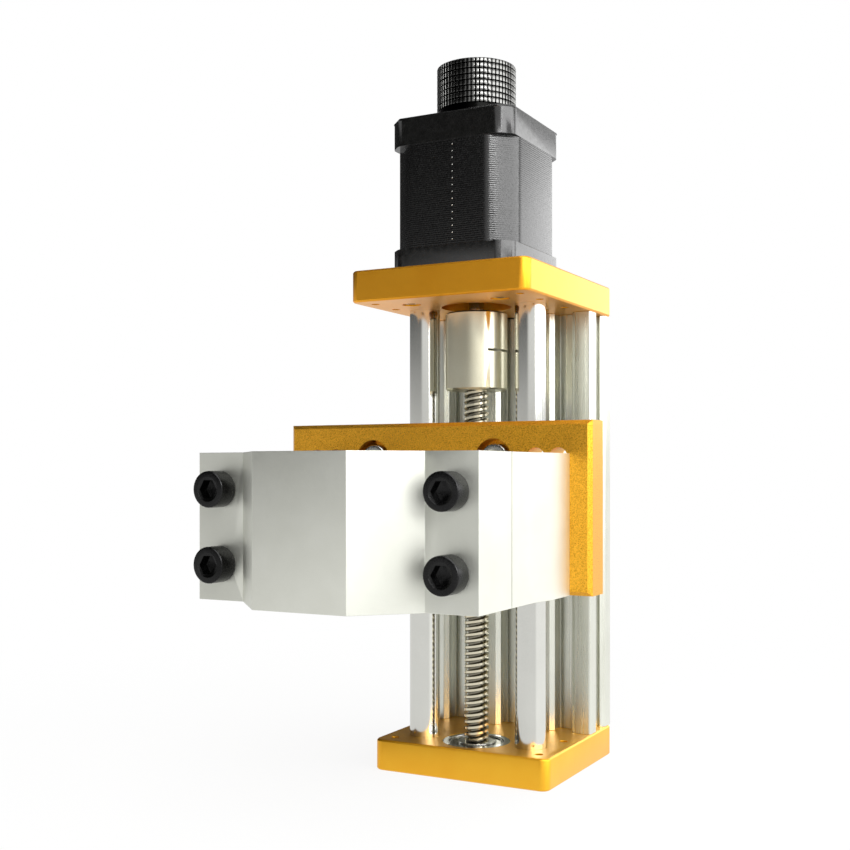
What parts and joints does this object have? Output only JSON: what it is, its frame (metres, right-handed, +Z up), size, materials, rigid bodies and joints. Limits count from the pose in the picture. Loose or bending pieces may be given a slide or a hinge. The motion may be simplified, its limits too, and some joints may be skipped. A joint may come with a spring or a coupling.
{
  "type": "motorised vertical linear slide",
  "caption": "Stepper-driven lead screw slide that raises and lowers a spindle clamp on guide rods.",
  "frame": {"origin": "on the lead screw's axis, at the underside of the bottom plate", "axes": "+Z up along the lead screw, +Y to the back towards the slotted profile, +X to the right seen from the front"},
  "size_m": [0.102, 0.147, 0.2277],
  "materials": {
    "gold_anodised": "gold anodised, fine blasted",
    "clear_anodised": "clear anodised, fine blasted",
    "black_anodised": "black anodised, knurled",
    "motor_alloy": "die cast, dark painted front, machined edges",
    "hard_chrome": "ground and plated",
    "screw_steel": "rolled thread",
    "bearing_steel": "ground",
    "bright_steel": "zinc plated",
    "black_steel": "black oxide",
    "lamination_steel": "stacked sheet edges",
    "copper_winding": "enamelled wire",
    "magnet": "sintered",
    "nut_brass": "turned",
    "pin_brass": "plated",
    "socket_plastic": "moulded",
    "cage_plastic": "moulded",
    "seal_rubber": "moulded"
  },
  "bodies": {
    "frame": {"bottom_plate": "gold_anodised", "top_plate": "gold_anodised", "rear_profile": "clear_anodised", "guide_rod_left": "hard_chrome", "guide_rod_right": "hard_chrome", "rod_end_screws": "bright_steel", "profile_end_screws": "bright_steel", "foot_bearing_outer_ring": "bearing_steel", "foot_bearing_balls": "bearing_steel", "foot_bearing_shields": "bright_steel", "motor_front_cap": "motor_alloy", "motor_rear_cap": "motor_alloy", "stator_laminations": "lamination_steel", "stator_coils": "copper_winding", "motor_bearing_outer_rings": "bearing_steel", "motor_bearing_balls": "bearing_steel", "motor_bearing_shields": "bright_steel", "spring_washer": "bright_steel", "motor_through_screws": "black_steel", "motor_mount_screws": "bright_steel", "motor_socket": "socket_plastic", "motor_socket_pins": "pin_brass"},
    "drive": {"lead_screw": "screw_steel", "foot_bearing_inner_ring": "bearing_steel", "shaft_coupling": "clear_anodised", "coupling_screws": "black_steel", "rotor_stacks": "lamination_steel", "rotor_magnet": "magnet", "motor_shaft": "bearing_steel", "motor_bearing_inner_rings": "bearing_steel", "hand_knob": "black_anodised", "knob_set_screw": "black_steel"},
    "carriage": {"carriage_plate": "gold_anodised", "carriage_plate_screws": "bright_steel", "bearing_block": "clear_anodised", "circlips": "black_steel", "linear_sleeves": "bearing_steel", "linear_retainers": "cage_plastic", "linear_balls": "bearing_steel", "linear_seals": "seal_rubber", "lead_nut": "nut_brass", "nut_screws": "bright_steel", "clamp_base": "clear_anodised", "clamp_cap": "clear_anodised", "clamp_bolts": "black_steel", "clamp_fixing_screws": "bright_steel"}
  },
  "joints": [
    {"name": "screw_spin", "type": "hinge", "parent": "frame", "child": "drive", "pos_m": [0, 0, 0], "axis": [0, 0, 1], "range_deg": [-991, 4321]},
    {"name": "carriage_slide", "type": "slide", "parent": "frame", "child": "carriage", "axis": [0, 0, 1], "range_m": [-0.048, 0.011]}
  ],
  "couplings": [
    {"joint": "screw_spin", "follows": "carriage_slide", "rad_per_m": -1570.8}
  ]
}
